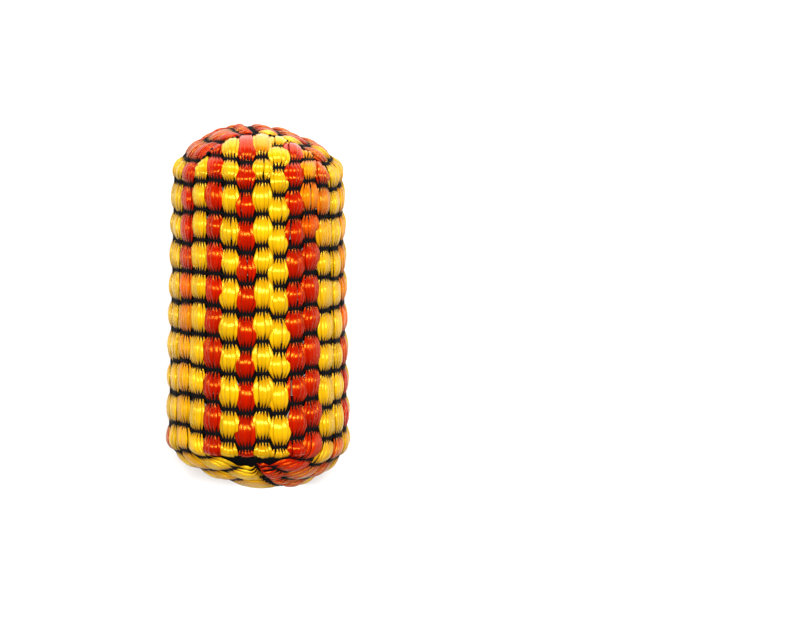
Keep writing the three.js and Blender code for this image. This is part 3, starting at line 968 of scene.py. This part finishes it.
def herb_material():
    """Packed dried leaf and root."""
    material, nodes, links, shader = new_material("dried_herbs")
    flakes = nodes.new("ShaderNodeTexVoronoi")
    flakes.inputs["Scale"].default_value = 420
    places = nodes.new("ShaderNodeTexCoord")
    links.new(places.outputs["Object"], flakes.inputs["Vector"])
    colour = add_ramp(nodes, links, flakes.outputs["Color"], [
        (0.2, (0.10, 0.07, 0.02)), (0.5, (0.28, 0.22, 0.07)), (0.8, (0.36, 0.30, 0.12))])
    links.new(colour, shader.inputs["Base Color"])
    shader.inputs["Roughness"].default_value = 0.95
    add_bump(nodes, links, shader, flakes.outputs["Distance"], 0.9, 0.0006)
    return material


# ---- Pieces ----

def take_over(piece, node):
    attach(piece, "root")
    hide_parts(node)


floss = {
    "floss_yellow": floss_material("floss_yellow", (1, 0.94, 0.1)),
    "floss_red": floss_material("floss_red", (1, 0.34, 0.02)),
}
black = cord_material("binding_black", (0.003, 0.0027, 0.003), 0.6)
string = cord_material("cotton_string", (0.7, 0.64, 0.5), 0.9)

for column in COLUMNS:
    take_over(make_column_piece(column, floss[SLOTS[column.name]]), column.name)

for row in range(1, RING_ROWS + 1):
    name = f"body_binding_row_{row:02d}"
    take_over(make_binding_piece(name, COLUMNS, row, True, black), name)

for end_name, end in ENDS.items():
    for flap_name, sign in (("left", -1), ("right", 1)):
        for number in range(1, FLAP_ROWS + 1):
            name = f"{end_name}_{flap_name}_flap_binding_row_{number}"
            if name not in SLOTS:
                continue
            row = RING_ROWS + number if end.side > 0 else 1 - number
            crossed = [
                c for c in COLUMNS
                if in_flap(end, c) and math.sin(c.middle) * sign > 0
                and lines_at(c, c.middle)[end_name].length > abs(tie_along(c, row)) + SEAM_CLEARANCE]
            take_over(make_binding_piece(name, crossed, row, False, black), name)
    take_over(make_stitching(end_name, black), f"{end_name}_closing_stitch")

bag = make_muslin_bag(muslin_material())
take_over(bag, "muslin_bag")
take_over(make_herb_filling(herb_material()), "herb_filling")
take_over(make_bag_tie(string), "bag_tie_string")


# ---- Floor and light ----

def make_floor():
    material, _, _, shader = new_material("floor")
    shader.inputs["Base Color"].default_value = (0.98, 0.98, 0.98, 1)
    shader.inputs["Roughness"].default_value = 0.8
    half = 3.0
    corners = [(-half, -half, 0), (half, -half, 0), (half, half, 0), (-half, half, 0)]
    mesh = bpy.data.meshes.new("floor")
    mesh.from_pydata(corners, [], [(0, 1, 2, 3)])
    mesh.materials.append(material)
    floor = bpy.data.objects.new("floor", mesh)
    floor.location.z = -0.0002  # just below the compress, so that the two faces don't meet
    bpy.context.scene.collection.objects.link(floor)


def make_light(name, place, size, power):
    """A softbox that faces the compress, its first side along X where it can be."""
    data = bpy.data.lights.new(name, "AREA")
    data.shape = "RECTANGLE"
    data.size, data.size_y = size
    data.energy = power
    light = bpy.data.objects.new(name, data)
    light.location = place
    back = Vector(place).normalized()
    right = Vector((0, 1, 0)).cross(back).normalized()
    light.rotation_euler = Matrix((right, back.cross(right), back)).transposed().to_euler()
    bpy.context.scene.collection.objects.link(light)


def make_world():
    world = bpy.data.worlds.new("studio")
    world.use_nodes = True
    background = world.node_tree.nodes["Background"]
    background.inputs["Color"].default_value = (1, 1, 1, 1)
    background.inputs["Strength"].default_value = 0.07
    bpy.context.scene.world = world


make_floor()
make_light("overhead strip", (0.0, 0.08, 1.0), (1.1, 0.06), 14.5)
make_light("left strip", (-0.75, 0.06, 0.5), (0.6, 0.08), 0.7)
make_light("right strip", (0.75, 0.06, 0.5), (0.6, 0.08), 0.7)
make_light("key from the top end", (0.05, 0.85, 0.62), (0.6, 0.15), 14.5)
make_world()
bpy.context.scene.view_settings.view_transform = "Standard"
